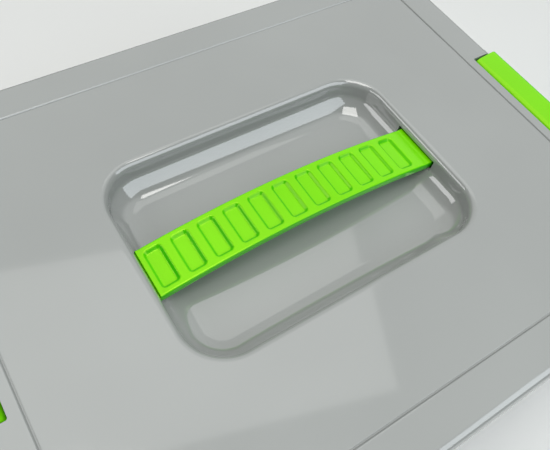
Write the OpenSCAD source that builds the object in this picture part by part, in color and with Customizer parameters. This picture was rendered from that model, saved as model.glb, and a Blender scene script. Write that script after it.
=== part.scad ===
// Carry-case sluice box. The lid lifts off, the inlet tray slides out of one end of the
// case and the tail tray out of the other, and a wire stand props the inlet end up.
// +X is downstream, +Z is up, and the origin is on the ground under the case's middle.

/* [Tub] */
// Length of the tub outside its walls
tub_l = 380; // [360:5:460]
// Width of the tub outside its walls
tub_w = 296; // [288:2:360]
// Radius of the tub's upright corners
tub_r = 28; // [22:1:34]
// Thickness of the tub's walls and floor
tub_t = 3.2; // [2.4:0.2:4]
// Height of the tub's underside above the ground
ground_gap = 10; // [9:0.5:16]
// Width of the thickened rim that carries the seal
rim_t = 6; // [5:0.5:7]
// Depth of the stiffening ribs on the long sides
rib_d = 5; // [3:0.5:7]
// Number of ribs on each long side
rib_count = 8; // [4:2:10]

/* [Lid] */
// Height of the lid's top above the ground
case_h = 140; // [138:1:180]
// How far the lid and the tub's flange stand out past the tub's walls
lid_over = 8; // [8:0.5:10]
// Thickness of the lid
lid_t = 3; // [2.5:0.1:3.6]
// Height of the lid's skirt
skirt_h = 24; // [23:0.5:28]
// Radius of the lid's upper edge
lid_edge_r = 5; // [4:0.5:7]
// Length of the panel inside the seam
panel_l = 348; // [330:2:350]
// Width of the panel inside the seam
panel_w = 261; // [246:1:264]
// Width of the seam groove
seam_w = 1.4; // [1:0.1:2]
// Depth of the seam groove
seam_d = 1.1; // [0.6:0.1:1.4]

/* [Hand well] */
// Length of the hand well over its lip
well_l = 200; // [190:2:240]
// Width of the hand well over its lip
well_w = 138; // [120:2:160]
// Corner radius of the hand well at its lip
well_r = 29.4; // [26:0.2:36]
// Depth of the hand well
well_d = 20.5; // [20.5:0.5:28]
// Radius of the rounded lip
well_lip = 4.5; // [3:0.5:5]
// Radius of the cove where the walls meet the floor
well_cove = 16; // [8:0.5:16]

/* [Handle] */
// Width of the handle strap
strap_w = 31.8; // [28:0.2:40]
// Thickness of the handle strap
strap_t = 5.2; // [4.4:0.2:6]
// How far the strap's ends lie below the lid's top
strap_drop = 6.4; // [6:0.1:7.5]
// Rise of the strap's middle above its ends
strap_rise = 8.5; // [5:0.5:12]
// Number of grip dimples
dimple_count = 11; // [7:1:11]
// Length of a dimple along the strap
dimple_l = 9.2; // [6:0.2:11]
// Width of a dimple across the strap
dimple_w = 23.6; // [16:0.2:25]
// Distance between dimples
dimple_pitch = 16.3; // [13:0.1:16.4]
// Depth of a dimple
dimple_d = 1.6; // [0.5:0.1:2]
// How far the strap slides from one stop to the other
strap_travel = 8.6; // [4:0.2:10]
// Gap between the strap and its slot at each side
slot_gap = 1.5; // [0.8:0.1:2]
// Diameter of the bosses that the strap's ends hook on
boss_d = 8; // [7:0.5:9]

/* [Latches] */
// Width of a latch
latch_w = 76; // [50:2:110]
// Thickness of a latch's plate
latch_t = 4; // [3:0.5:5]
// Length of a latch below the lid's top
latch_drop = 40; // [37:0.5:41]
// Diameter of the latch pins
latch_pin_d = 4; // [3:0.5:5]
// Radius of a latch's barrel
latch_barrel_r = 6.8; // [6:0.1:7]
// How far a latch stands open of its closed place at rest, in degrees
latch_release = 7; // [6:0.5:9]

/* [Sluice] */
// Width of the tail tray outside its walls
tray_w = 244; // [200:2:244]
// Thickness of the trough's and trays' sheet
sheet_t = 2; // [1.5:0.1:2.4]
// Height of the tail tray's walls
tail_h = 31; // [28:0.5:31]
// Height of the trough's walls
trough_h = 51; // [50:0.5:52]
// Height of the inlet tray's walls
inlet_h = 23; // [18:0.5:23]
// Thickness of the ribbed mats, ribs included
mat_t = 4; // [3:0.5:5]
// Distance between the mats' ribs
mat_pitch = 9; // [7:0.5:14]
// Height of the trough's riffles
riffle_h = 13; // [9:0.5:13]
// Height of the tail tray's riffles
tail_riffle_h = 9; // [6:0.5:10]
// Number of riffles in the trough
riffle_count = 9; // [6:1:10]
// Number of riffles in the tail tray
tail_riffle_count = 8; // [5:1:10]
// Thickness of the riffle bars
bar_t = 2; // [1.5:0.1:3]
// Thickness of the classifier screen
screen_t = 1.5; // [1:0.1:2]
// Gap between sliding sheets
slide_gap = 0.6; // [0.5:0.1:0.8]

/* [Doors] */
// Thickness of the tail gate and the flare wings
door_t = 3; // [2.5:0.1:3.4]
// Height of the tail gate above its hinge
gate_h = 72; // [66:1:74]
// Diameter of the door hinge pins
door_pin_d = 3; // [2.4:0.1:3.2]
// Radius of the door hinge knuckles
knuckle_r = 3.5; // [3:0.1:3.5]

/* [Stand] */
// Diameter of the stand's wire
wire_d = 5; // [4:0.5:5.5]
// Length of the stand's legs
stand_l = 105; // [70:1:120]
// Width of the stand between its wire centres
stand_w = 150; // [110:2:180]

/* [Hidden] */
$fn = 64;

eps = 0.01;
running_gap = 0.06;   // radial clearance of a turning pin
seat_gap = 0.3;       // gap between faces of bodies that part

lid_l = tub_l + 2 * lid_over;
lid_w = tub_w + 2 * lid_over;
lid_r = tub_r + lid_over;
panel_r = 14;

// Heights, from the ground up
tub_edge_r = 6;
floor_z = ground_gap + tub_t;
tail_z = floor_z + slide_gap;
trough_z = tail_z + tail_h + 3.2;
mat_z = trough_z + sheet_t;
screen_z = mat_z + mat_t;
riffle_z = screen_z + screen_t;
ledge_z = riffle_z + riffle_h + 1;
ledge_t = 2.5;
inlet_z = ledge_z + ledge_t + slide_gap;
seal_h = 3;
seal_w = 3;
seal_sink = 1.5;
seal_rib_h = 16;      // from the lid's underside to the rib's foot
seal_top_z = case_h - lid_t - seal_rib_h - seat_gap;
rim_z = seal_top_z - seal_h + seal_sink;
rim_band_h = 8;
flange_t = 3.5;
flange_z = case_h - skirt_h - seat_gap - flange_t;

// Handle and hand well
wall_x = well_l / 2 - well_lip;
arch_half = wall_x - 3.5;
short_end = wall_x - 1.2;     // the full thickness stops short of the inlet wall
deep_end = wall_x + 6;        // and runs into the slot at the outlet
tongue_drop = 1.6;
arch_r = (arch_half * arch_half + strap_rise * strap_rise) / (2 * strap_rise);
strap_end = well_l / 2 + 24;
boss_x = well_l / 2 + 12;
boss_h = 13;
strap_z = case_h - strap_drop;
keeper_t = 2.5;
keeper_z = case_h - lid_t - boss_h - keeper_t;
keeper_screw_d = 3.5;

// Latches
pin_x = lid_l / 2 - 10;
pin_z = case_h - 7;
pocket_x = pin_x - latch_barrel_r - 0.5;
pocket_d = latch_barrel_r + 7.7;
pocket_w = latch_w + 2;
latch_x = lid_l / 2 + 1;
ear_t = 5;
hook_h = 4;
hook_reach = 1.8;     // how far the hook passes under the flange when shut
recess_x = tub_l / 2 + 5.5;
hook_x = recess_x - hook_reach;

// Sluice
inner_l = tub_l - 2 * tub_t;
corner_r = tub_r - tub_t;
// How far the tub's end wall curves inwards at a distance y from the middle line
function corner_inset(y) = corner_r - sqrt(pow(corner_r, 2) - pow(max(0, y - tub_w / 2 + tub_r), 2));
trough_flange_reach = 8;
trough_side_gap = 2.8;
trough_w = tub_w - 2 * (tub_t + trough_flange_reach + trough_side_gap);
guide_y = tray_w / 2 + slide_gap;
guide_t = trough_w / 2 - guide_y;
guide_l = inner_l - 14;
trough_l = inner_l - 2 * corner_inset(trough_w / 2) - 4;
trough_in_w = trough_w - 2 * sheet_t;
trough_flange_w = trough_w + 2 * trough_flange_reach;
trough_flange_l = inner_l - 2 * corner_inset(trough_flange_w / 2) - 4;
boss_y = trough_w / 2 + 4.6;
trough_boss_x = inner_l / 2 - 36;
ledge_w = 6;
inlet_w = trough_in_w - 2 * slide_gap;
inlet_l = trough_l - 6;
tail_l = tub_l - 14;
tail_in_w = tray_w - 2 * sheet_t;
tail_mat_z = tail_z + sheet_t;
tail_riffle_z = tail_mat_z + mat_t;
mat_l = trough_l - 12;
tail_mat_l = tail_l - 8;
opening_gap = 1;

// Doors
hinge_out = 4;        // from the tub's end wall to the hinge pins
gate_pin_z = tail_z + 1.3;
wing_pin_y = inlet_w / 2 - knuckle_r;
wing_z = inlet_z + 1.6;
wing_h = inlet_h - 3.2;

// Stand
stand_x = 40 - tub_l / 2;
stand_z = ground_gap - wire_d / 2 - 1.4;
bracket_w = 12;
foot_d = 24;
foot_x = tub_l / 2 - 26;
foot_y = tub_w / 2 - 24;
foot_sink = 1.2;

// Flat rounded rectangle about the middle
module rounded(l, w, r) {
    square([l - 2 * r, w], center = true);
    square([l, w - 2 * r], center = true);
    for (sx = [-1, 1], sy = [-1, 1])
        translate([sx * (l / 2 - r), sy * (w / 2 - r)]) circle(r);
}

module plate(l, w, r, z0, z1) {
    translate([0, 0, z0]) linear_extrude(z1 - z0) rounded(l, w, r);
}

module ring(l, w, r, t, z0, z1) {
    translate([0, 0, z0]) linear_extrude(z1 - z0) difference() {
        rounded(l, w, r);
        rounded(l - 2 * t, w - 2 * t, r - t);
    }
}

// Box given by its low corner and its high corner
module block(low, high) {
    translate(low) cube(high - low);
}

// Half section of a well: the wall falls from a rounded lip and meets the floor in a cove
module well_section(r, depth, cove, lip) {
    wall = r - lip;
    translate([0, cove - depth]) square([wall, depth - cove]);
    translate([0, -depth]) square([wall - cove, cove]);
    intersection() {
        translate([wall - cove, cove - depth]) circle(cove);
        translate([wall - cove, -depth]) square(cove);
    }
    if (lip > 0) difference() {
        translate([wall, -lip]) square(lip);
        translate([r, -lip]) circle(lip);
    }
}

// Solid that fills a well whose mouth is at height 0
module well(l, w, r, depth, cove, lip = 0) {
    straight_l = l - 2 * r;
    straight_w = w - 2 * r;
    translate([-straight_l / 2, -straight_w / 2, -depth]) cube([straight_l, straight_w, depth]);
    for (m = [0, 1]) mirror([0, m, 0])
        translate([-straight_l / 2, straight_w / 2, 0]) rotate([90, 0, 90])
            linear_extrude(straight_l) well_section(r, depth, cove, lip);
    for (m = [0, 1]) mirror([m, 0, 0])
        translate([straight_l / 2, straight_w / 2, 0]) rotate([90, 0, 0])
            linear_extrude(straight_w) well_section(r, depth, cove, lip);
    for (mx = [0, 1], my = [0, 1]) mirror([mx, 0, 0]) mirror([0, my, 0])
        translate([straight_l / 2, straight_w / 2, 0])
            rotate_extrude(angle = 90) well_section(r, depth, cove, lip);
}

// The same shape upside down: a lid whose upper edge is rounded, with its foot at height 0
module dome(l, w, r, height, edge) {
    mirror([0, 0, 1]) well(l, w, r, height, edge);
}

// Turns its children about an axis along Y through x, z
module turned_y(x, z, angle) {
    translate([x, 0, z]) rotate([0, angle, 0]) translate([-x, 0, -z]) children();
}

module rod_y(x, z, d, y0, y1) {
    translate([x, y1, z]) rotate([90, 0, 0]) cylinder(d = d, h = y1 - y0);
}

module rod_z(x, y, d, z0, z1) {
    translate([x, y, z0]) cylinder(d = d, h = z1 - z0);
}

// Channel of bent sheet along X, open at its +X end
module channel(x0, x1, w, z, h, back_h) {
    block([x0, -w / 2, z], [x1, w / 2, z + sheet_t]);
    for (s = [-1, 1]) {
        y = s > 0 ? w / 2 - sheet_t : -w / 2;
        block([x0, y, z], [x1, y + sheet_t, z + h]);
    }
    if (back_h > 0) block([x0, -w / 2, z], [x0 + sheet_t, w / 2, z + back_h]);
}

// Mat with ribs across the flow
module ribbed_mat(x0, l, w, z) {
    base = mat_t / 2;
    rib = mat_pitch / 3;
    count = floor((l - rib) / mat_pitch);
    translate([0, w / 2, 0]) rotate([90, 0, 0]) linear_extrude(w) union() {
        translate([x0, z]) square([l, base]);
        for (i = [0:count - 1])
            translate([x0 + rib + i * mat_pitch, z + base - eps]) square([rib, mat_t - base + eps]);
    }
}

// Ladder of riffles: two side rails and bars with a lip that leans downstream
module riffle_ladder(x0, l, w, z, h, count) {
    rail_t = 3;
    pitch = (l - bar_t) / (count - 1);
    lip = h * 0.5;
    for (s = [-1, 1]) {
        y = s > 0 ? w / 2 - rail_t : -w / 2;
        block([x0, y, z], [x0 + l, y + rail_t, z + h]);
    }
    translate([0, w / 2 - eps, 0]) rotate([90, 0, 0]) linear_extrude(w - 2 * eps)
        for (i = [0:count - 1]) {
            x = x0 + i * pitch;
            side = i == count - 1 ? -1 : 1;
            translate([x, z]) square([bar_t, h]);
            translate([side > 0 ? x : x + bar_t - lip, z + h - bar_t]) square([lip, bar_t]);
        }
}

module screw_z(x, y, z, shank_d, shank_h, head_d, head_h) {
    translate([x, y, z]) cylinder(d = shank_d, h = shank_h);
    translate([x, y, z - head_h]) cylinder(d = head_d, h = head_h);
}

module tub() color("lightgray") {
    depth = rim_z - ground_gap;
    tail_open_w = tray_w + 2 * opening_gap;
    inlet_open_w = inlet_w + 2 * opening_gap;
    difference() {
        union() {
            translate([0, 0, rim_z]) well(tub_l, tub_w, tub_r, depth, tub_edge_r);
            plate(lid_l, lid_w, lid_r, flange_z, flange_z + flange_t);
            tub_ribs();
        }
        translate([0, 0, rim_z - rim_band_h])
            well(tub_l - 2 * tub_t, tub_w - 2 * tub_t, tub_r - tub_t, depth - rim_band_h - tub_t,
                tub_edge_r - tub_t);
        plate(tub_l - 2 * rim_t, tub_w - 2 * rim_t, tub_r - rim_t, rim_z - rim_band_h - 1, rim_z + 1);
        ring(tub_l - rim_t + seal_w, tub_w - rim_t + seal_w, tub_r - (rim_t - seal_w) / 2, seal_w,
            rim_z - seal_sink, rim_z + 1);
        // Tail opening
        block([inner_l / 2 - corner_inset(tail_open_w / 2) - 3, -tail_open_w / 2, floor_z],
            [tub_l / 2 + 1, tail_open_w / 2, gate_pin_z + gate_h - 4]);
        // Inlet opening
        block([-tub_l / 2 - 1, -inlet_open_w / 2, inlet_z - slide_gap],
            [1 + corner_inset(inlet_open_w / 2) - inner_l / 2, inlet_open_w / 2,
                inlet_z + inlet_h + opening_gap]);
        // Flange recesses behind the latches
        for (m = [0, 1]) mirror([m, 0, 0])
            block([recess_x, -pocket_w / 2, flange_z - 1],
                [lid_l / 2 + 1, pocket_w / 2, flange_z + flange_t + 1]);
        for (x = [-foot_x, foot_x], y = [-foot_y, foot_y]) {
            rod_z(x, y, foot_d + 0.2, ground_gap - 1, ground_gap + foot_sink);
            rod_z(x, y, 4.1, ground_gap - 1, floor_z + 1);
        }
    }
    for (x = [-trough_boss_x, trough_boss_x], y = [-boss_y, boss_y]) difference() {
        rod_z(x, y, 9, floor_z - 0.5, trough_z + trough_h - sheet_t);
        rod_z(x, y, 3.1, trough_z + trough_h - 20, trough_z + trough_h);
    }
}

rib_t = 3;
rib_span = tub_l - 2 * tub_r - 60;
rib_pitch = rib_span / (rib_count - 1);

module tub_ribs() {
    for (i = [0:rib_count - 1], s = [-1, 1]) {
        x = i * rib_pitch - rib_span / 2;
        y = s > 0 ? tub_w / 2 - 1 : -tub_w / 2 - rib_d;
        block([x - rib_t / 2, y, ground_gap + 14], [x + rib_t / 2, y + rib_d + 1, flange_z + 1]);
    }
}

tie_x = tub_r + 12 - tub_l / 2;
tie_t = 4;
tie_foot_t = 2;
tie_y = tub_w / 2 + 4.6;
tie_z = flange_z - 5.5;
tie_hole_d = 4.4;
tie_rivet_d = 4;
// Below the hole, clear of the cord's way in
tie_rivet_drop = 6.5;

// Eyes for the tether, ahead of the ribs at the inlet end
module tie_eyes() color("silver")
    for (m = [0, 1]) mirror([0, m, 0]) difference() {
        union() {
            block([tie_x - 9, tub_w / 2, tie_z - tie_rivet_drop - 3.5],
                [tie_x + 9, tub_w / 2 + tie_foot_t, flange_z]);
            block([tie_x - tie_t / 2, tub_w / 2, tie_z - 4.5],
                [tie_x + tie_t / 2, tub_w / 2 + lid_over, flange_z]);
        }
        translate([tie_x - tie_t, tie_y, tie_z]) rotate([0, 90, 0])
            cylinder(d = tie_hole_d, h = 2 * tie_t);
    }

module tie_rivets() color("gainsboro")
    for (dx = [-5.6, 5.6], m = [0, 1]) mirror([0, m, 0])
        translate([tie_x + dx, tub_w / 2 + tie_foot_t, tie_z - tie_rivet_drop]) rotate([-90, 0, 0])
            cylinder(d = tie_rivet_d, h = 1.2);

module rim_seal() color("dimgray")
    ring(tub_l - rim_t + seal_w, tub_w - rim_t + seal_w, tub_r - (rim_t - seal_w) / 2, seal_w,
        rim_z - seal_sink, seal_top_z);

module feet() color("dimgray")
    for (x = [-foot_x, foot_x], y = [-foot_y, foot_y]) difference() {
        rod_z(x, y, foot_d, 0, ground_gap + foot_sink);
        rod_z(x, y, 9, -1, 3);
        rod_z(x, y, 4.1, 0, ground_gap + foot_sink + 1);
    }

module foot_screws() color("silver")
    for (x = [-foot_x, foot_x], y = [-foot_y, foot_y])
        screw_z(x, y, 3, 4, floor_z - 3, 8, 2);

module guide(m) color("darkgray") mirror([0, m, 0]) difference() {
    block([-guide_l / 2, guide_y, floor_z], [guide_l / 2, guide_y + guide_t, trough_z]);
    // Hollow underside, as moulded
    block([-guide_l / 2 + 3, guide_y + 3, floor_z - 1],
        [guide_l / 2 - 3, guide_y + guide_t - 3, trough_z - 12]);
    for (x = guide_screw_x) rod_z(x, guide_y + guide_t / 2, 3.1, trough_z - 13, trough_z + 1);
}

guide_screw_x = [-inner_l / 2 + 60, inner_l / 2 - 60];

module guide_left() guide(0);

module guide_right() guide(1);

module guide_screws() color("silver")
    for (x = guide_screw_x, s = [-1, 1])
        rod_z(x, s * (guide_y + guide_t / 2), 3, trough_z - 12, trough_z);

module trough() color("silver") difference() {
    union() {
        channel(-trough_l / 2, trough_l / 2, trough_w, trough_z, trough_h, ledge_z - trough_z);
        for (s = [-1, 1]) {
            y = s > 0 ? trough_w / 2 - sheet_t : -trough_flange_w / 2;
            block([-trough_flange_l / 2, y, trough_z + trough_h - sheet_t],
                [trough_flange_l / 2, y + sheet_t + trough_flange_reach, trough_z + trough_h]);
        }
    }
    for (x = [-trough_boss_x, trough_boss_x], y = [-boss_y, boss_y])
        rod_z(x, y, 3.4, trough_z, trough_z + trough_h + 1);
}

module trough_screws() color("gainsboro")
    for (x = [-trough_boss_x, trough_boss_x], y = [-boss_y, boss_y])
        translate([x, y, trough_z + trough_h]) {
            translate([0, 0, -14]) cylinder(d = 3, h = 14);
            cylinder(d = 6, h = 2);
        }

module ledge(m) color("silver") mirror([0, m, 0])
    block([-trough_l / 2 + 4, trough_in_w / 2 - ledge_w, ledge_z],
        [trough_l / 2 - 4, trough_in_w / 2, ledge_z + ledge_t]);

module ledge_left() ledge(0);

module ledge_right() ledge(1);

rivet_count = 6;

module ledge_rivets() color("gainsboro")
    for (i = [0:rivet_count - 1], m = [0, 1]) mirror([0, m, 0]) {
        x = (i - (rivet_count - 1) / 2) * 52;
        translate([x, trough_w / 2, ledge_z + ledge_t / 2]) rotate([-90, 0, 0])
            cylinder(d = 4, h = 1.2);
    }

module trough_mat() color("darkslategray")
    ribbed_mat(-mat_l / 2, mat_l, trough_in_w - 1, mat_z);

module classifier_screen() color("slategray") {
    l = mat_l - 4;
    w = trough_in_w - 2;
    cols = 22;
    rows = 10;
    cell_l = (l - 8) / cols;
    cell_w = (w - 8) / rows;
    web = 1.6;
    translate([0, 0, screen_z]) linear_extrude(screen_t) difference() {
        square([l, w], center = true);
        for (i = [0:cols - 1], j = [0:rows - 1])
            translate([(i - (cols - 1) / 2) * cell_l, (j - (rows - 1) / 2) * cell_w])
                polygon([[cell_l / 2 - web / 2, 0], [0, cell_w / 2 - web],
                    [web / 2 - cell_l / 2, 0], [0, web - cell_w / 2]]);
    }
}

module riffle_frame() color("silver")
    riffle_ladder(-mat_l / 2 + 2, mat_l - 4, trough_in_w - 2, riffle_z, riffle_h, riffle_count);

module stand_brackets() color("darkgray")
    for (s = [-1, 1]) difference() {
        y = s * stand_w / 2;
        union() {
            block([stand_x - 9, y - bracket_w / 2, ground_gap - 3],
                [stand_x + 9, y + bracket_w / 2, ground_gap]);
            block([stand_x - 4.4, y - bracket_w / 2, stand_z - wire_d / 2 - 1.4],
                [stand_x + 4.4, y + bracket_w / 2, ground_gap]);
        }
        rod_y(stand_x, stand_z, wire_d + 2 * running_gap, y - bracket_w, y + bracket_w);
        for (dx = [-6.6, 6.6]) rod_z(stand_x + dx, y, 2.2, ground_gap - 4, ground_gap + 1);
    }

module bracket_screws() color("silver")
    for (s = [-1, 1], dx = [-6.6, 6.6])
        screw_z(stand_x + dx, s * stand_w / 2, ground_gap - 3, 2, 3, 3.6, 1.4);

module lid_shell() color("lightgray") difference() {
    union() {
        difference() {
            translate([0, 0, case_h - skirt_h]) dome(lid_l, lid_w, lid_r, skirt_h, lid_edge_r);
            translate([0, 0, case_h - skirt_h - 1])
                dome(lid_l - 2 * lid_t, lid_w - 2 * lid_t, lid_r - lid_t, skirt_h + 1 - lid_t,
                    lid_edge_r - lid_t);
        }
        ring(tub_l - rim_t + seal_w, tub_w - rim_t + seal_w, tub_r - (rim_t - seal_w) / 2, seal_w,
            seal_top_z + seat_gap, case_h - lid_t + eps);
        translate([0, 0, case_h - lid_t / 2])
            well(2 * (wall_x + lid_t), well_w - 2 * well_lip + 2 * lid_t, well_r - well_lip + lid_t,
                well_d + lid_t / 2, well_cove + lid_t);
        for (m = [0, 1]) mirror([m, 0, 0]) {
            block([pocket_x - lid_t, -pocket_w / 2 - ear_t, case_h - pocket_d - 2.4],
                [lid_l / 2 - 1, pocket_w / 2 + ear_t, case_h - 1.5]);
            rod_z(boss_x, 0, boss_d, case_h - lid_t - boss_h, case_h - lid_t + 1);
        }
    }
    translate([0, 0, case_h]) well(well_l, well_w, well_r, well_d, well_cove, well_lip);
    ring(panel_l + seam_w, panel_w + seam_w, panel_r + seam_w / 2, seam_w, case_h - seam_d, case_h + 1);
    for (m = [0, 1]) mirror([m, 0, 0]) {
        block([wall_x - well_cove, -strap_w / 2 - slot_gap, strap_z - strap_t - 1],
            [wall_x + lid_t + 1, strap_w / 2 + slot_gap, strap_z + 1.5]);
        block([pocket_x, -pocket_w / 2, case_h - pocket_d], [lid_l, pocket_w / 2, case_h + 1]);
        rod_y(pin_x, pin_z, latch_pin_d, -pocket_w / 2 - ear_t + 1, pocket_w / 2 + ear_t - 1);
        rod_z(boss_x, 0, keeper_screw_d - 0.3, keeper_z - 1, case_h - lid_t - 1);
    }
}

module keeper(m) color("gray") mirror([m, 0, 0]) difference() {
    plate_l = 22;
    translate([boss_x, 0, keeper_z]) linear_extrude(keeper_t) rounded(plate_l, strap_w, 4);
    rod_z(boss_x, 0, keeper_screw_d + 0.2, keeper_z - 1, keeper_z + keeper_t + 1);
}

module inlet_keeper() keeper(1);

module outlet_keeper() keeper(0);

module keeper_screws() color("silver")
    for (s = [-1, 1]) screw_z(s * boss_x, 0, keeper_z, keeper_screw_d - 0.4, 12, 7, 2);

module latch_pin(m) color("silver") mirror([m, 0, 0])
    rod_y(pin_x, pin_z, latch_pin_d, -pocket_w / 2 - ear_t + 1, pocket_w / 2 + ear_t - 1);

module inlet_latch_pin() latch_pin(1);

module outlet_latch_pin() latch_pin(0);

arch_fn = 900;
strap_shift = -strap_travel / 2;

// One arc between the flat ends
module strap_arch() {
    translate([0, strap_w / 2, 0]) rotate([90, 0, 0]) linear_extrude(strap_w) intersection() {
        translate([0, strap_z + strap_rise - arch_r]) difference() {
            circle(arch_r, $fn = arch_fn);
            circle(arch_r - strap_t, $fn = arch_fn);
        }
        translate([-arch_half, strap_z - strap_t - 1]) square([2 * arch_half, strap_rise + strap_t + 2]);
    }
}

module handle_strap() color("lawngreen") {
    hole_d = boss_d + 0.8;
    difference() {
        union() {
            strap_arch();
            for (m = [0, 1]) mirror([m, 0, 0])
                block([arch_half - 1, -strap_w / 2, strap_z - strap_t],
                    [strap_end, strap_w / 2, strap_z - tongue_drop]);
            block([-short_end, -strap_w / 2, strap_z - strap_t], [1 - arch_half, strap_w / 2, strap_z]);
            block([arch_half - 1, -strap_w / 2, strap_z - strap_t], [deep_end, strap_w / 2, strap_z]);
        }
        // Dimples follow the arch
        difference() {
            for (i = [0:dimple_count - 1])
                translate([(i - (dimple_count - 1) / 2) * dimple_pitch + strap_shift, 0, strap_z - strap_t])
                    linear_extrude(strap_rise + 3 * strap_t) rounded(dimple_l, dimple_w, 1.8);
            rod_y(0, strap_z + strap_rise - arch_r, 2 * (arch_r - dimple_d), -strap_w, strap_w,
                $fn = arch_fn);
        }
        // Oblong holes that slide on the bosses
        for (s = [-1, 1])
            translate([s * boss_x + strap_shift, 0, strap_z - strap_t - 1]) linear_extrude(strap_t + 2) {
                square([strap_travel, hole_d], center = true);
                for (e = [-1, 1]) translate([e * strap_travel / 2, 0]) circle(d = hole_d);
            }
    }
}

// A latch as it stands when shut: barrel, top, front plate, hook and finger lip
module latch(m) color("lawngreen") mirror([m, 0, 0])
    turned_y(pin_x, pin_z, -latch_release) difference() {
        top_z = pin_z + latch_barrel_r;
        union() {
            rod_y(pin_x, pin_z, 2 * latch_barrel_r, -latch_w / 2, latch_w / 2);
            block([pin_x, -latch_w / 2, top_z - latch_t], [latch_x + latch_t, latch_w / 2, top_z]);
            block([latch_x, -latch_w / 2, case_h - latch_drop], [latch_x + latch_t, latch_w / 2, top_z]);
            block([hook_x, -latch_w / 2 + 8, flange_z - seat_gap - hook_h],
                [latch_x + 1, latch_w / 2 - 8, flange_z - seat_gap]);
        }
        rod_y(pin_x, pin_z, latch_pin_d + 2 * running_gap, -latch_w, latch_w);
    }

module inlet_latch() latch(1);

module outlet_latch() latch(0);

inlet_x = -tub_l / 2;

module inlet_tray() color("silver") {
    // The tray opens upstream, so the channel is turned end for end
    mirror([1, 0, 0]) channel(-inlet_x - inlet_l, -inlet_x, inlet_w, inlet_z, inlet_h, 0);
    for (m = [0, 1]) mirror([0, m, 0]) difference() {
        for (z = [inlet_z, inlet_z + inlet_h - 3.6]) {
            rod_z(inlet_x - hinge_out, wing_pin_y, 2 * knuckle_r, z, z + 3.6);
            block([inlet_x - hinge_out, wing_pin_y, z], [inlet_x + 6, wing_pin_y + knuckle_r, z + 3.6]);
        }
        rod_z(inlet_x - hinge_out, wing_pin_y, door_pin_d, inlet_z - 1, inlet_z + inlet_h + 1);
    }
}

module wing_pin(m) color("gainsboro") mirror([0, m, 0])
    rod_z(inlet_x - hinge_out, wing_pin_y, door_pin_d, inlet_z, inlet_z + inlet_h);

module wing_pin_left() wing_pin(0);

module wing_pin_right() wing_pin(1);

module wing(m) color("lightgray") mirror([0, m, 0]) difference() {
    knuckle_z0 = inlet_z + 3.6 + seat_gap;
    knuckle_z1 = inlet_z + inlet_h - 3.6 - seat_gap;
    union() {
        rod_z(inlet_x - hinge_out, wing_pin_y, 2 * knuckle_r, knuckle_z0, knuckle_z1);
        block([inlet_x - hinge_out - door_t / 2, wing_pin_y - knuckle_r - 2, knuckle_z0],
            [inlet_x - hinge_out + door_t / 2, wing_pin_y, knuckle_z1]);
        block([inlet_x - hinge_out - door_t / 2, seat_gap, wing_z - 1],
            [inlet_x - hinge_out + door_t / 2, wing_pin_y - knuckle_r - 1, wing_z + wing_h + 1]);
    }
    rod_z(inlet_x - hinge_out, wing_pin_y, door_pin_d + 2 * running_gap, inlet_z, inlet_z + inlet_h);
}

module wing_left() wing(0);

module wing_right() wing(1);

// Finger tab at the meeting edge of a wing
module wing_tab(m) color("lawngreen") mirror([0, m, 0]) {
    face_x = inlet_x - hinge_out - door_t / 2;
    block([face_x - tab_t, 2, wing_z + 2], [face_x, 22, wing_z + wing_h - 2]);
    block([face_x - tab_reach, 2, wing_z + 2], [face_x, 2 + tab_t, wing_z + wing_h - 2]);
}

tab_t = 2;
tab_reach = 7;

module wing_tab_left() wing_tab(0);

module wing_tab_right() wing_tab(1);

gate_x = tub_l / 2 + hinge_out;
gate_knuckle_y = tray_w / 2 - 22;
gate_knuckle_w = 20;

module gate_knuckle(y) {
    rod_y(gate_x, gate_pin_z, 2 * knuckle_r, y, y + gate_knuckle_w);
}

module tail_tray() color("silver") difference() {
    union() {
        channel(tub_l / 2 - tail_l, tub_l / 2, tray_w, tail_z, tail_h, tail_h);
        for (m = [0, 1]) mirror([0, m, 0]) {
            gate_knuckle(gate_knuckle_y);
            block([tub_l / 2 - 1, gate_knuckle_y, tail_z],
                [gate_x, gate_knuckle_y + gate_knuckle_w, tail_z + sheet_t]);
        }
    }
    rod_y(gate_x, gate_pin_z, door_pin_d, -tray_w, tray_w);
}

module gate_pin() color("gainsboro")
    rod_y(gate_x, gate_pin_z, door_pin_d, -gate_knuckle_y - gate_knuckle_w, gate_knuckle_y + gate_knuckle_w);

module tail_gate() color("lightgray") difference() {
    gate_w = tray_w + 6;
    inner_y = gate_knuckle_y - gate_knuckle_w - seat_gap;
    union() {
        for (m = [0, 1]) mirror([0, m, 0]) {
            gate_knuckle(inner_y);
            block([gate_x - door_t / 2, inner_y, gate_pin_z],
                [gate_x + door_t / 2, inner_y + gate_knuckle_w, gate_pin_z + knuckle_r + 3]);
        }
        block([gate_x - door_t / 2, -gate_w / 2, gate_pin_z + knuckle_r + 1.5],
            [gate_x + door_t / 2, gate_w / 2, gate_pin_z + gate_h]);
    }
    rod_y(gate_x, gate_pin_z, door_pin_d + 2 * running_gap, -tray_w, tray_w);
}

module gate_pull() color("lawngreen") {
    face_x = gate_x + door_t / 2;
    top_z = gate_pin_z + gate_h - 4;
    block([face_x, -30, top_z - 14], [face_x + tab_t, 30, top_z]);
    block([face_x, -30, top_z - tab_t], [face_x + tab_reach, 30, top_z]);
}

module tail_mat() color("darkslategray")
    ribbed_mat(tub_l / 2 - tail_l + 5, tail_mat_l - 2, tail_in_w - 1, tail_mat_z);

module tail_riffles() color("silver")
    riffle_ladder(tub_l / 2 - tail_l + 7, tail_mat_l - 8, tail_in_w - 2, tail_riffle_z, tail_riffle_h,
        tail_riffle_count);

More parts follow.
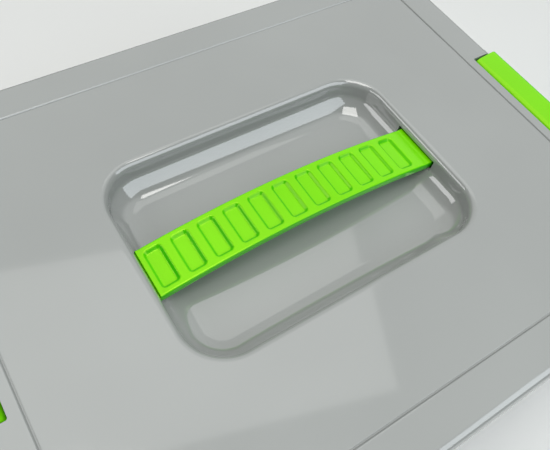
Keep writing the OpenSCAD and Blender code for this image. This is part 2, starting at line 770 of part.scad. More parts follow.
// Wire bent to a U: pivot ends through the brackets, legs, and a crossbar that takes the load
module stand_bail() color("silver") {
    bend = 9;
    end_x = stand_x + stand_l;
    for (m = [0, 1]) mirror([0, m, 0]) {
        leg_y = stand_w / 2 - bracket_w / 2 - 1.5 - bend / 2;
        rod_y(stand_x, stand_z, wire_d, leg_y, stand_w / 2 + bracket_w / 2 + 2);
        translate([stand_x, leg_y, stand_z]) sphere(d = wire_d);
        translate([stand_x, leg_y, stand_z]) rotate([0, 90, 0]) cylinder(d = wire_d, h = stand_l - bend);
        translate([end_x - bend, leg_y - bend, stand_z])
            rotate_extrude(angle = 90) translate([bend, 0]) circle(d = wire_d);
    }
    leg_y = stand_w / 2 - bracket_w / 2 - 1.5 - bend / 2;
    rod_y(end_x, stand_z, wire_d, -leg_y + bend, leg_y - bend);
}

module stand_sleeve() color("dimgray") difference() {
    end_x = stand_x + stand_l;
    rod_y(end_x, stand_z, wire_d + 2, -36, 36);
    rod_y(end_x, stand_z, wire_d, -40, 40);
}

tub();
tie_eyes();
tie_rivets();
rim_seal();
feet();
foot_screws();
guide_left();
guide_right();
guide_screws();
trough();
trough_screws();
ledge_left();
ledge_right();
ledge_rivets();
trough_mat();
classifier_screen();
riffle_frame();
stand_brackets();
bracket_screws();
lid_shell();
inlet_keeper();
outlet_keeper();
keeper_screws();
inlet_latch_pin();
outlet_latch_pin();
handle_strap();
inlet_latch();
outlet_latch();
inlet_tray();
wing_pin_left();
wing_pin_right();
wing_left();
wing_right();
wing_tab_left();
wing_tab_right();
tail_tray();
tail_mat();
tail_riffles();
gate_pin();
tail_gate();
gate_pull();
stand_bail();
stand_sleeve();
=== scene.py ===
import bpy, math
from mathutils import Matrix, Quaternion, Vector


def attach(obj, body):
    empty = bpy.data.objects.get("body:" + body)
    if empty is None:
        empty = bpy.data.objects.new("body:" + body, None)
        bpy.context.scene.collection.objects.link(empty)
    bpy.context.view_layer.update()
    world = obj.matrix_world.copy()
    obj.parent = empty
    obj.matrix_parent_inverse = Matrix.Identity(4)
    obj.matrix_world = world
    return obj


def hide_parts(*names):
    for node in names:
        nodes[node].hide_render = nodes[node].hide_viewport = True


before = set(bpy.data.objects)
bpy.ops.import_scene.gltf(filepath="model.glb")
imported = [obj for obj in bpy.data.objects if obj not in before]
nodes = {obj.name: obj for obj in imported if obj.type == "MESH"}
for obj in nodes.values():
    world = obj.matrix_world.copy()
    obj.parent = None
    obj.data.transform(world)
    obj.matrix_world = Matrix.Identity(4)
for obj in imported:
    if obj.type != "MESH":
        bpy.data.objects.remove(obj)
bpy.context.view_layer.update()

mm = 0.001


def say(stage):
    print("sluice:", stage)


def meshObject(name, verts, faces, material, smoothBelow=35):
    data = bpy.data.meshes.new(name)
    data.from_pydata(verts, [], faces)
    data.validate()
    obj = bpy.data.objects.new(name, data)
    bpy.context.scene.collection.objects.link(obj)
    data.materials.append(material)
    smoothMesh(obj, smoothBelow)
    return obj


def smoothMesh(obj, angle):
    for polygon in obj.data.polygons:
        polygon.use_smooth = True
    obj.data.set_sharp_from_angle(angle=math.radians(angle))


def tidyNormals(obj):
    mod = obj.modifiers.new("evenNormals", "WEIGHTED_NORMAL")
    mod.keep_sharp = True
    mod.weight = 50


# Rounds the edges that are sharper than an angle
def bevelEdges(obj, width, segments, sharperThan):
    mod = obj.modifiers.new("edge", "BEVEL")
    mod.width = width
    mod.segments = segments
    mod.limit_method = "ANGLE"
    mod.angle_limit = math.radians(sharperThan)


def applyModifiers(obj):
    graph = bpy.context.evaluated_depsgraph_get()
    baked = bpy.data.meshes.new_from_object(obj.evaluated_get(graph))
    old = obj.data
    obj.modifiers.clear()
    obj.data = baked
    bpy.data.meshes.remove(old)


def combine(obj, tools, operation):
    for tool in tools:
        mod = obj.modifiers.new("cut", "BOOLEAN")
        mod.operation = operation
        mod.solver = "EXACT"
        mod.object = tool
    applyModifiers(obj)
    for tool in tools:
        bpy.data.objects.remove(tool)


def arc(cx, cy, radius, start, end, steps):
    turn = [math.radians(start + (end - start) * i / steps) for i in range(steps + 1)]
    return [(cx + radius * math.cos(a), cy + radius * math.sin(a)) for a in turn]


# Closed loop of a rounded rectangle; every loop has the same number of points, so loops can be joined
def roundedLoop(halfX, halfY, radius, z, cornerSteps=32, longSteps=24, shortSteps=16):
    points = []
    sideX, sideY = halfX - radius, halfY - radius
    corners = ((1, 1), (-1, 1), (-1, -1), (1, -1))
    onwards = ((-1, 0), (0, -1), (1, 0), (0, 1))  # the way each side runs from its corner
    for quadrant, ((sx, sy), (toX, toY)) in enumerate(zip(corners, onwards)):
        for i in range(cornerSteps + 1):
            a = math.radians(90 * quadrant + 90 * i / cornerSteps)
            points.append((sx * sideX + radius * math.cos(a), sy * sideY + radius * math.sin(a), z))
        x, y, _ = points[-1]
        count = longSteps if toX else shortSteps
        for i in range(1, count):
            points.append((x + toX * 2 * sideX * i / count, y + toY * 2 * sideY * i / count, z))
    return points


# Solid of stacked loops with both ends capped
def loftSolid(name, loops, material, smoothBelow=35):
    count, rings = len(loops[0]), len(loops)
    verts = [p for loop in loops for p in loop]
    faces = []
    for r in range(rings - 1):
        for i in range(count):
            j = (i + 1) % count
            faces.append((r * count + i, r * count + j, (r + 1) * count + j, (r + 1) * count + i))
    faces.append(tuple(reversed(range(count))))
    faces.append(tuple(range((rings - 1) * count, rings * count)))
    return meshObject(name, verts, faces, material, smoothBelow)


def boxSolid(name, low, high, material, edge=0.0):
    x0, y0, z0 = low
    x1, y1, z1 = high
    verts = [(x, y, z) for z in (z0, z1) for x, y in ((x0, y0), (x1, y0), (x1, y1), (x0, y1))]
    faces = [(3, 2, 1, 0), (4, 5, 6, 7), (0, 1, 5, 4), (1, 2, 6, 5), (2, 3, 7, 6), (3, 0, 4, 7)]
    obj = meshObject(name, verts, faces, material)
    if edge:
        bevelEdges(obj, edge, 4, 30)
        applyModifiers(obj)
        smoothMesh(obj, 50)
    return obj


# Upright round post on the middle line of the case
def postSolid(name, x, low, high, radius, material, sides=48):
    turns = [2 * math.pi * i / sides for i in range(sides)]
    loops = [[(x + radius * math.cos(a), radius * math.sin(a), z) for a in turns] for z in (low, high)]
    return loftSolid(name, loops, material)


class Finish:
    def __init__(self, name, color, roughness, metallic=0.0, coat=0.0, coatRoughness=0.05, specular=0.5,
                 ior=1.5, glossTint=(1, 1, 1)):
        self.material = bpy.data.materials.new(name)
        self.material.use_nodes = True
        self.tree = self.material.node_tree
        self.shader = self.tree.nodes["Principled BSDF"]
        settings = {
            "Base Color": (*color, 1), "Roughness": roughness, "Metallic": metallic,
            "Coat Weight": coat, "Coat Roughness": coatRoughness,
            "Specular IOR Level": specular, "IOR": ior, "Specular Tint": (*glossTint, 1),
        }
        for socket, value in settings.items():
            self.shader.inputs[socket].default_value = value
        self.coords = self.tree.nodes.new("ShaderNodeTexCoord")

    def node(self, kind, **inputs):
        made = self.tree.nodes.new(kind)
        for key, value in inputs.items():
            made.inputs[key.replace("_", " ")].default_value = value
        return made

    def link(self, out, into):
        self.tree.links.new(out, into)

    def noise(self, scale, detail=3.0, roughness=0.5, stretch=None):
        made = self.node("ShaderNodeTexNoise", Scale=scale, Detail=detail, Roughness=roughness)
        if stretch:
            mapping = self.node("ShaderNodeMapping", Scale=stretch)
            self.link(self.coords.outputs["Object"], mapping.inputs["Vector"])
            self.link(mapping.outputs["Vector"], made.inputs["Vector"])
        else:
            self.link(self.coords.outputs["Object"], made.inputs["Vector"])
        return made.outputs["Fac"]

    def ramp(self, source, stops):
        made = self.node("ShaderNodeValToRGB")
        while len(made.color_ramp.elements) < len(stops):
            made.color_ramp.elements.new(0.5)
        for element, (at, color) in zip(made.color_ramp.elements, stops):
            element.position = at
            element.color = (*color, 1)
        self.link(source, made.inputs["Fac"])
        return made.outputs["Color"]

    # Spreads a noise, most of which lies between 0.3 and 0.7, over low to high
    def spread(self, source, low, high):
        made = self.node("ShaderNodeMapRange", From_Min=0.3, From_Max=0.7, To_Min=low, To_Max=high)
        self.link(source, made.inputs["Value"])
        return made.outputs["Result"]

    def roughen(self, source, low, high):
        self.link(self.spread(source, low, high), self.shader.inputs["Roughness"])

    def tint(self, source, colors, at=(0.35, 0.65)):
        self.link(self.ramp(source, list(zip(at, colors))), self.shader.inputs["Base Color"])

    # Painted shade: darkens the colour where the surface turns away from its top, standing in for the
    # shade that steep faces get
    def paintSteepShade(self, color, steep=0.62, level=0.95):
        baseColor = self.shader.inputs["Base Color"]
        split = self.node("ShaderNodeSeparateXYZ")
        self.link(self.coords.outputs["Normal"], split.inputs["Vector"])
        flatness = self.node("ShaderNodeMapRange", From_Min=steep, From_Max=level)
        self.link(split.outputs["Z"], flatness.inputs["Value"])
        mix = self.node("ShaderNodeMix")
        mix.data_type = "RGBA"
        amount, shadedSide, topSide = mix.inputs[0], mix.inputs[6], mix.inputs[7]  # its colour sockets
        self.link(flatness.outputs["Result"], amount)
        shadedSide.default_value = (*color, 1)
        self.link(baseColor.links[0].from_socket, topSide)
        self.link(mix.outputs[2], baseColor)

    def bump(self, source, distance):
        made = self.node("ShaderNodeBump", Distance=distance, Strength=1.0)
        self.link(source, made.inputs["Height"])
        self.link(made.outputs["Normal"], self.shader.inputs["Normal"])


def shade(color, factor):
    return tuple(c * factor for c in color)


# Glossy moulding: a faint drift of colour, handling marks and slow waves; given a deep colour, it also
# paints shade on steep faces
def polishedPlastic(name, color, roughness, waviness, drift=0.03, deep=None, **shine):
    finish = Finish(name, color, roughness, coatRoughness=0.04, **shine)
    finish.tint(finish.noise(9, 2), (shade(color, 1 - drift), shade(color, 1 + drift)))
    if deep:
        # painted shade on the steep faces
        finish.paintSteepShade(deep)
    finish.roughen(finish.noise(140, 4), roughness * 0.8, roughness * 1.25)
    finish.bump(finish.noise(26, 1.5), waviness)
    return finish.material


# Satin moulding with a fine grain
def grainedPlastic(name, color, roughness, grain):
    finish = Finish(name, color, roughness)
    finish.tint(finish.noise(30, 4), (shade(color, 0.93), shade(color, 1.05)))
    finish.roughen(finish.noise(420, 3), roughness * 0.85, roughness * 1.15)
    finish.bump(finish.noise(900, 3), grain)
    return finish.material


def softRubber(name, color, roughness, grain=0.08 * mm):
    finish = Finish(name, color, roughness, specular=0.35)
    finish.tint(finish.noise(60, 5), (shade(color, 0.75), shade(color, 1.35)))
    finish.roughen(finish.noise(300, 4), roughness * 0.9, min(1, roughness * 1.1))
    finish.bump(finish.noise(1300, 4), grain)
    return finish.material


# Streaks run along the axis whose stretch is smallest
def brushedMetal(name, color, roughness, stretch, scratches=0.02 * mm):
    finish = Finish(name, color, roughness, metallic=1.0)
    streaks = finish.noise(220, 5, 0.6, stretch)
    finish.tint(streaks, (shade(color, 0.86), shade(color, 1.08)))
    finish.roughen(streaks, roughness * 0.75, roughness * 1.35)
    finish.bump(streaks, scratches)
    return finish.material


colors = {
    "lidGrey": (0.297, 0.307, 0.298),
    "tubGrey": (0.30, 0.308, 0.30),
    "lime": (0.16, 0.67, 0.0005),
    # painted shade colour for the strap's steep faces
    "shadedLime": (0.03, 0.48, 0.0003),
    "darkGrey": (0.075, 0.08, 0.085),
    "rubber": (0.022, 0.022, 0.023),
    "mat": (0.018, 0.05, 0.032),
    "aluminium": (0.66, 0.67, 0.69),
    "steel": (0.56, 0.56, 0.57),
}

lidPlastic = polishedPlastic("lidPlastic", colors["lidGrey"], 0.07, 0.01 * mm, coat=0.8, specular=1.0)
casePlastic = grainedPlastic("casePlastic", colors["tubGrey"], 0.36, 0.03 * mm)
limeShine = {"drift": 0.04, "specular": 1.0, "glossTint": (0.9, 1.0, 0.16)}
limePlastic = polishedPlastic("limePlastic", colors["lime"], 0.18, 0.02 * mm, ior=1.6, **limeShine)
# the strap's steep faces, its dimple walls and sides, get painted shade in a darker lime
strapPlastic = polishedPlastic("strapPlastic", colors["lime"], 0.18, 0.02 * mm, deep=colors["shadedLime"],
                               **limeShine)
guidePlastic = grainedPlastic("guidePlastic", colors["darkGrey"], 0.5, 0.04 * mm)
sealRubber = softRubber("sealRubber", colors["rubber"], 0.7)
matRubber = softRubber("matRubber", colors["mat"], 0.75)
rolledAluminium = brushedMetal("rolledAluminium", colors["aluminium"], 0.34, (0.25, 8, 8))
brushedAluminium = brushedMetal("brushedAluminium", colors["aluminium"], 0.28, (8, 0.3, 8))
screenSteel = brushedMetal("screenSteel", shade(colors["steel"], 0.8), 0.42, (3, 3, 3))
platedSteel = brushedMetal("platedSteel", colors["steel"], 0.24, (5, 5, 0.6))
wireSteel = brushedMetal("wireSteel", shade(colors["steel"], 1.05), 0.2, (1.5, 6, 6))
say("materials")


lid = {
    "halfX": 198 * mm, "halfY": 156 * mm, "corner": 36 * mm,
    "top": 140 * mm, "thick": 3 * mm, "skirt": 24 * mm, "edge": 5 * mm,
    "panelX": 174 * mm, "panelY": 130.5 * mm, "panelCorner": 14 * mm,
    "grooveWidth": 1.4 * mm, "grooveDepth": 1.0 * mm, "grooveEdge": 0.25 * mm,
    "wellX": 100 * mm, "wellY": 69 * mm, "wellCorner": 29.4 * mm,
    "wellDepth": 20.5 * mm, "lip": 4.5 * mm, "cove": 16 * mm,
    "wallTilt": 5, "wallFoot": 9.87 * mm,
    # radius and final tilt of each curve between the well's wall and its floor
    "coveCurves": ((5.0 * mm, 38), (22.6 * mm, 60), (17.4 * mm, 90)),
    # the skirt's lower edge from outside to inside, in millimetres in and up
    "rim": ((0, 0.8), (0.3, 0.2), (0.8, 0), (2.4, 0)), "rimInside": 0.6 * mm,
    "underCorner": 1.5 * mm,  # between the underside and the outside of the well
    "hold": 0.5 * mm,  # a loop this far from a curve keeps the face beside it flat
}
latchPocket = {
    "back": 180.7 * mm, "halfWidth": 39 * mm, "depth": 14.5 * mm, "edge": 1.2 * mm,
    "wall": 3 * mm, "ear": 5 * mm, "floor": 2.4 * mm,
    # the block stays inside the lid's outer faces, and the cut runs past them
    "insideX": 1 * mm, "insideZ": 1.5 * mm, "pastX": 6 * mm, "pastZ": 4 * mm,
}
strapSlot = {"from": 80 * mm, "to": 99.5 * mm, "halfWidth": 17.4 * mm, "low": 12.6 * mm, "high": 4.9 * mm,
             "edge": 0.5 * mm}
strapBoss = {"x": 112 * mm, "radius": 4 * mm, "low": 16 * mm, "high": 2 * mm}


# Offsets from a rounded rectangle: each step is (inset, height), where inset shrinks all three sizes
def insetLoops(halfX, halfY, corner, z, steps):
    return [roundedLoop(halfX - inset, halfY - inset, max(corner - inset, 0.2 * mm), z + rise)
            for inset, rise in steps]


# The well's section from the panel down to its floor, as (inset, height) points
def wellSection(lipSteps=20, curveSteps=14):
    p = lid
    tilt = math.radians(p["wallTilt"])
    lip = p["lip"]
    points = [(-0.6 * mm, 0.0)]  # keeps the panel flat beside the lip
    for i in range(lipSteps + 1):
        a = (math.pi / 2 - tilt) * i / lipSteps
        points.append((lip * math.sin(a), lip * (math.cos(a) - 1)))
    inset, height = points[-1]
    inset += (height + p["wallFoot"]) * math.tan(tilt)
    height = -p["wallFoot"]
    points.append((inset, height))
    for radius, last in p["coveCurves"]:
        last = math.radians(last)
        for i in range(1, curveSteps + 1):
            a = tilt + (last - tilt) * i / curveSteps
            points.append((inset + radius * (math.cos(tilt) - math.cos(a)),
                           height - radius * (math.sin(a) - math.sin(tilt))))
        inset, height = points[-1]
        tilt = last
    return points


# The well's flat floor, as loops that shrink towards its middle
def floorLoops(inset, z, shares):
    p = lid
    return [roundedLoop((p["wellX"] - inset) * share, (p["wellY"] - inset) * share,
                        max((p["wellCorner"] - inset) * share, 0.1 * mm), z) for share in shares]


# Loops over the whole lid: from the middle of the well out over the top, and back underneath
def lidLoops():
    p = lid
    top, thick, skirt, edge, hold = p["top"], p["thick"], p["skirt"], p["edge"], p["hold"]
    lip, cove, depth, under = p["lip"], p["cove"], p["wellDepth"], p["underCorner"]
    section = wellSection()
    inset, floor = section[-1]
    loops = floorLoops(inset, top + floor, (0.02, 0.3, 0.6, 0.85, 0.97))
    loops += insetLoops(p["wellX"], p["wellY"], p["wellCorner"], top, reversed(section))
    # panel out to the seam groove
    for share in (0.3, 0.7):
        loops.append(roundedLoop(p["wellX"] + (p["panelX"] - p["wellX"]) * share,
                                 p["wellY"] + (p["panelY"] - p["wellY"]) * share,
                                 p["wellCorner"] + (p["panelCorner"] - p["wellCorner"]) * share, top))
    half, deep, soft = p["grooveWidth"] / 2, p["grooveDepth"], p["grooveEdge"]
    groove = [(half + soft + hold, 0), (half + soft, 0), (half + soft * 0.3, -soft * 0.3),
              (half, -soft), (half, -deep), (0.0, -deep), (-half * 0.5, -deep * 0.55),
              (-half, -soft * 0.6), (-half - soft, 0), (-half - soft - hold, 0)]
    loops += insetLoops(p["panelX"], p["panelY"], p["panelCorner"], top, groove)
    # border, rounded edge and skirt
    steps = [(edge + 3 * mm, 0), (edge + hold, 0)]
    steps += [(edge - x, -edge + z) for x, z in arc(0, 0, edge, 90, 0, 10)]
    steps.append((0, -edge - hold))
    steps += [(inward * mm, -skirt + upward * mm) for inward, upward in p["rim"]]
    # inside of the skirt and underside
    steps += [(thick, -skirt + p["rimInside"]), (thick, -edge - hold)]
    steps += [(edge - x, -edge + z) for x, z in arc(0, 0, edge - thick, 0, 90, 5)]
    steps.append((edge + hold, -thick))
    loops += insetLoops(p["halfX"], p["halfY"], p["corner"], top, steps)
    steps = [(lip - thick - under, -thick), (lip - thick, -thick - under)]
    steps += [(lip + cove - x, -depth + cove + z) for x, z in arc(0, 0, cove + thick, 0, -90, 10)]
    loops += insetLoops(p["wellX"], p["wellY"], p["wellCorner"], top, steps)
    return loops + floorLoops(lip + cove, top - depth - thick, (0.8, 0.4, 0.02))


# Box at one end of the case, from near to far along X, and between two depths below the lid's top
def endBox(name, side, near, far, halfWidth, low, high, edge=0.0):
    x0, x1 = sorted((side * near, side * far))
    return boxSolid(name, (x0, -halfWidth, lid["top"] - low), (x1, halfWidth, lid["top"] - high),
                    lidPlastic, edge)


def makeLid():
    shell = loftSolid("lidShell", lidLoops(), lidPlastic)
    adds, cuts = [], []
    for side in (1, -1):
        p = latchPocket
        adds.append(endBox("pocketBlock", side, p["back"] - p["wall"], lid["halfX"] - p["insideX"],
                           p["halfWidth"] + p["ear"], p["depth"] + p["floor"], p["insideZ"]))
        cuts.append(endBox("pocketCut", side, p["back"], lid["halfX"] + p["pastX"],
                           p["halfWidth"], p["depth"], -p["pastZ"], p["edge"]))
        # slot for the strap's end, through the well's end wall, and the boss that it slides on
        p = strapSlot
        cuts.append(endBox("strapSlot", side, p["from"], p["to"],
                           p["halfWidth"], p["low"], p["high"], p["edge"]))
        p = strapBoss
        adds.append(postSolid("boss", side * p["x"], lid["top"] - p["low"], lid["top"] - p["high"],
                              p["radius"], lidPlastic))
    combine(shell, adds, "UNION")
    combine(shell, cuts, "DIFFERENCE")
    smoothMesh(shell, 32)
    tidyNormals(shell)
    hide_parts("lid_shell")
    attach(shell, "lid")


makeLid()
say("lid")


strap = {
    "halfWidth": 15.9 * mm, "thick": 5.2 * mm, "endTop": 133.6 * mm, "rise": 8.5 * mm,
    "archHalf": 92 * mm, "shortEnd": -94.3 * mm, "deepEnd": 101.5 * mm,
    "tongueDrop": 2.6 * mm, "tongueEnd": 124 * mm,
    "edge": 1.1 * mm, "lowerEdge": 0.6,  # the lower one is a share of the upper
    "dimples": 11, "pitch": 16.3 * mm, "shift": -4.3 * mm, "dimpleX": 6.0 * mm, "dimpleY": 13.0 * mm,
    "dimpleDepth": 2.0 * mm, "dimpleWall": 2.5 * mm, "dimpleCorner": 3.0 * mm,
    "stepsAlong": 580, "stepsAcross": 88,
}


# Height of the strap's arch
def strapTop(x):
    p = strap
    radius = (p["archHalf"] ** 2 + p["rise"] ** 2) / (2 * p["rise"])
    if abs(x) >= p["archHalf"]:
        return p["endTop"]
    return p["endTop"] + p["rise"] - radius + math.sqrt(radius ** 2 - x ** 2)


def smoothStep(t):
    t = min(max(t, 0), 1)
    return t * t * (3 - 2 * t)


# How far the dimples sink the strap's top at one point
def dimpleDrop(x, y):
    p = strap
    row = (p["dimples"] - 1) / 2
    index = round((x - p["shift"]) / p["pitch"])
    if abs(index) > row:
        return 0
    dx = abs(x - p["shift"] - index * p["pitch"]) - p["dimpleX"] + p["dimpleCorner"]
    dy = abs(y) - p["dimpleY"] + p["dimpleCorner"]
    outside = math.hypot(max(dx, 0), max(dy, 0)) + min(max(dx, dy), 0) - p["dimpleCorner"]
    return p["dimpleDepth"] * smoothStep(-outside / p["dimpleWall"])


def makeStrap():
    p = strap
    w, edge = p["halfWidth"], p["edge"]
    under = edge * p["lowerEdge"]
    across, along = p["stepsAcross"], p["stepsAlong"]
    flat = [(-w + edge) + 2 * (w - edge) * i / across for i in range(across + 1)]
    span = p["deepEnd"] - p["shortEnd"] - edge
    middle = [(p["shortEnd"] + edge / 2 + span * i / along, 0.0) for i in range(along + 1)]
    # each end of the full thickness is rounded, and steps down to its tongue
    rounded = [(edge / 2 * (1 - math.cos(math.radians(a))), edge / 2 * (1 - math.sin(math.radians(a))))
               for a in (0, 22, 45, 68)]
    lead = [(-p["tongueEnd"], p["tongueDrop"]), (p["shortEnd"], p["tongueDrop"])]
    lead += [(p["shortEnd"] + back, drop) for back, drop in rounded]
    tail = [(p["deepEnd"] - back, drop) for back, drop in reversed(rounded)]
    tail += [(p["deepEnd"], p["tongueDrop"]), (p["tongueEnd"], p["tongueDrop"])]
    loops = []
    for x, drop in lead + middle + tail:
        top = strapTop(x)
        bottom = top - p["thick"]
        loop = [(x, y, top - drop - (dimpleDrop(x, y) if drop < edge else 0)) for y in flat]
        loop += [(x, w - edge + y, top - drop - edge + z) for y, z in arc(0, 0, edge, 90, 0, 6)[1:]]
        loop += [(x, w - under + y, bottom + under + z) for y, z in arc(0, 0, under, 0, -90, 4)]
        loop += [(x, -w + under + y, bottom + under + z) for y, z in arc(0, 0, under, -90, -180, 4)]
        loop += [(x, -w + edge + y, top - drop - edge + z) for y, z in arc(0, 0, edge, 180, 90, 6)[:-1]]
        loops.append(loop)
    obj = loftSolid("handleStrap", loops, strapPlastic, 40)
    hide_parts("handle_strap")
    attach(obj, "handle")


makeStrap()
say("handle")


latch = {
    "pinX": 188 * mm, "pinZ": 133 * mm, "barrel": 6.8 * mm, "plate": 4 * mm, "frontX": 199 * mm,
    "bottom": 100 * mm, "halfWidth": 38 * mm, "corner": 4.5 * mm, "innerCorner": 1.5 * mm,
    "footCorner": 1.6 * mm, "footLean": 0.2 * mm, "edge": 0.9 * mm,
    "hookX": 193.7 * mm, "hookTop": 111.9 * mm, "hookHeight": 4 * mm,
    "hookNose": (0.4 * mm, 0.6 * mm), "hookSlope": (1.2 * mm, 0.5 * mm),
    "knuckle": 0.86, "knuckleDrop": 2.2 * mm,  # where the barrel runs into the front's inside
    "openAtRest": 7,
}


# The outlet latch's outline from the side, shut, in X and Z
def latchOutline():
    p = latch
    topZ = p["pinZ"] + p["barrel"]
    outX = p["frontX"] + p["plate"]
    inner, inCorner, foot = topZ - p["plate"], p["innerCorner"], p["footCorner"]
    outline = arc(p["pinX"], p["pinZ"], p["barrel"], 90, 300, 28)
    outline.append((p["pinX"] + p["barrel"] * p["knuckle"], inner - p["knuckleDrop"]))
    outline += arc(p["frontX"] - inCorner, inner - inCorner, inCorner, 90, 0, 5)
    noseX, noseZ = p["hookNose"]
    slopeX, slopeZ = p["hookSlope"]
    hookFoot = p["hookTop"] - p["hookHeight"]
    outline += [(p["frontX"], p["hookTop"]), (p["hookX"] + noseX, p["hookTop"]),
                (p["hookX"], p["hookTop"] - noseZ), (p["hookX"] + slopeX, hookFoot),
                (p["frontX"], hookFoot - slopeZ)]
    outline += arc(p["frontX"] + foot, p["bottom"] + foot, foot, 180, 270, 5)
    outline += arc(outX + p["footLean"] - foot, p["bottom"] + foot, foot, 270, 360, 5)
    outline += arc(outX - p["corner"], topZ - p["corner"], p["corner"], 0, 90, 10)
    return outline


def makeLatch(name, node, body, side):
    p = latch
    ends = [[(x, y, z) for x, z in latchOutline()] for y in (-p["halfWidth"], p["halfWidth"])]
    obj = loftSolid(name, ends, limePlastic, 40)
    bevelEdges(obj, p["edge"], 4, 60)
    applyModifiers(obj)
    pin = Matrix.Translation((p["pinX"], 0, p["pinZ"]))
    swing = Matrix.Rotation(-math.radians(p["openAtRest"]), 4, "Y")
    obj.data.transform(pin @ swing @ pin.inverted())
    if side < 0:
        obj.data.transform(Matrix.Rotation(math.pi, 4, "Z"))
    smoothMesh(obj, 40)
    tidyNormals(obj)
    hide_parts(node)
    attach(obj, body)


makeLatch("inletLatch", "inlet_latch", "latch_at_inlet", -1)
makeLatch("outletLatch", "outlet_latch", "latch_at_outlet", 1)
say("latches")


finishes = {
    casePlastic: ["tub", "wing_left", "wing_right", "tail_gate"],
    limePlastic: ["wing_tab_left", "wing_tab_right", "gate_pull"],
    guidePlastic: ["guide_left", "guide_right", "stand_brackets", "inlet_keeper", "outlet_keeper"],
    sealRubber: ["rim_seal", "feet", "stand_sleeve"],
    matRubber: ["trough_mat", "tail_mat"],
    rolledAluminium: ["trough", "ledge_left", "ledge_right", "inlet_tray", "tail_tray"],
    brushedAluminium: ["riffle_frame", "tail_riffles", "ledge_rivets", "tie_rivets"],
    screenSteel: ["classifier_screen"],
    platedSteel: ["foot_screws", "guide_screws", "trough_screws", "bracket_screws", "keeper_screws",
                  "inlet_latch_pin", "outlet_latch_pin", "wing_pin_left", "wing_pin_right", "gate_pin"],
    wireSteel: ["stand_bail", "tie_eyes"],
}
# Bevel of each moulded or folded node, in millimetres
softEdges = {
    "tub": 0.8, "wing_left": 0.6, "wing_right": 0.6, "tail_gate": 0.6, "gate_pull": 0.5,
    "wing_tab_left": 0.5, "wing_tab_right": 0.5, "trough": 0.3, "inlet_tray": 0.3, "tail_tray": 0.3,
    "guide_left": 0.6, "guide_right": 0.6, "stand_brackets": 0.5, "feet": 0.8,
}
for material, names in finishes.items():
    for name in names:
        obj = nodes[name]
        obj.data.materials.clear()
        obj.data.materials.append(material)
        weld = obj.modifiers.new("weld", "WELD")
        weld.merge_threshold = 0.01 * mm
        if name in softEdges:
            bevelEdges(obj, softEdges[name] * mm, 3, 40)
        tidyNormals(obj)
say("carried-over nodes")


studio = {
    "floorHalf": 6, "floorColor": (0.78, 0.78, 0.77), "floorRoughness": 0.7,
    # bright overhead and behind the case, dim towards the front; from and to say how near the bright
    # direction the light starts to rise and is full
    "roomColor": (0.97, 1.0, 0.99), "bright": (0.35, 0.5, 0.8), "from": 0.62, "to": 0.82,
    "dim": 0.2, "full": 0.9,
    "lampDistance": 1.4, "lampTarget": (0, 0, 0.13),
}
lights = {
    # azimuth, elevation, width, height, brightness, colour
    "keyLight": (-125, 79, 0.8, 0.8, 3.9, (1.0, 0.99, 0.96)),
    "ceilingLamp": (73, 71, 1.15, 0.55, 0.6, (1.0, 1.0, 0.98)),
    "nearWindow": (-66, 37, 1.3, 1.05, 2.3, (0.88, 0.95, 1.0)),
    "leftStrip": (166, 27, 1.0, 0.5, 2.6, (1, 1, 1)),
}


def makeFloor():
    half = studio["floorHalf"]
    finish = Finish("paleFloor", studio["floorColor"], studio["floorRoughness"])
    corners = [(-half, -half, 0), (half, -half, 0), (half, half, 0), (-half, half, 0)]
    floor = meshObject("studioFloor", corners, [(0, 1, 2, 3)], finish.material)


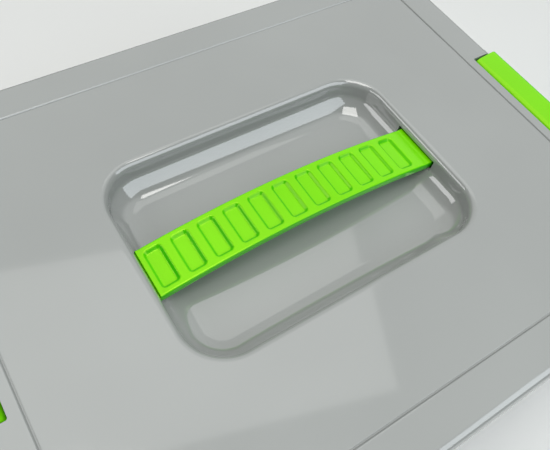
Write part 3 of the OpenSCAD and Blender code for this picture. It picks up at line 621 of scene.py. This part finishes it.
def makeRoom():
    world = bpy.data.worlds.new("studio")
    bpy.context.scene.world = world
    world.use_nodes = True
    tree = world.node_tree
    background = tree.nodes["Background"]
    coords = tree.nodes.new("ShaderNodeTexCoord")
    facing = tree.nodes.new("ShaderNodeVectorMath")
    facing.operation = "DOT_PRODUCT"
    facing.inputs[1].default_value = Vector(studio["bright"]).normalized()
    strength = tree.nodes.new("ShaderNodeMapRange")
    strength.interpolation_type = "SMOOTHSTEP"
    sockets = {"From Min": "from", "From Max": "to", "To Min": "dim", "To Max": "full"}
    for socket, setting in sockets.items():
        strength.inputs[socket].default_value = studio[setting]
    tree.links.new(coords.outputs["Generated"], facing.inputs[0])
    tree.links.new(facing.outputs["Value"], strength.inputs["Value"])
    tree.links.new(strength.outputs["Result"], background.inputs["Strength"])
    background.inputs["Color"].default_value = (*studio["roomColor"], 1)


def softLight(name, position, target, width, height, power, color):
    data = bpy.data.lights.new(name, "AREA")
    data.shape = "RECTANGLE"
    data.size, data.size_y = width, height
    data.energy = power
    data.color = color
    lamp = bpy.data.objects.new(name, data)
    bpy.context.scene.collection.objects.link(lamp)
    lamp.location = position
    lamp.rotation_mode = "QUATERNION"
    lamp.rotation_quaternion = (target - position).to_track_quat("-Z", "Y")


def makeLight():
    makeRoom()
    target = Vector(studio["lampTarget"])
    for name, (azimuth, elevation, width, height, brightness, color) in lights.items():
        a, e = math.radians(azimuth), math.radians(elevation)
        away = Vector((math.cos(e) * math.cos(a), math.cos(e) * math.sin(a), math.sin(e)))
        power = brightness * math.pi * width * height  # a larger lamp then looks as bright as a small one
        softLight(name, target + away * studio["lampDistance"], target, width, height, power, color)


# Position and aim in millimetres, roll in degrees
camera = {"position": (-146.25, -147.82, 424.68), "lookAt": (-20.70, -10.42, 140), "roll": 11.466,
          "lens": 39.835, "sensor": 36}


def makeCamera():
    data = bpy.data.cameras.new("camera")
    data.sensor_width = camera["sensor"]
    data.lens = camera["lens"]
    data.clip_start, data.clip_end = 0.01, 50
    eye = bpy.data.objects.new("camera", data)
    bpy.context.scene.collection.objects.link(eye)
    position, lookAt = Vector(camera["position"]), Vector(camera["lookAt"])
    roll = Quaternion((0, 0, 1), math.radians(camera["roll"]))
    eye.location = position * mm
    eye.rotation_mode = "QUATERNION"
    eye.rotation_quaternion = (lookAt - position).to_track_quat("-Z", "Y") @ roll
    bpy.context.scene.camera = eye


makeFloor()
makeLight()
makeCamera()
bpy.context.scene.view_settings.view_transform = "Standard"
say("stage")
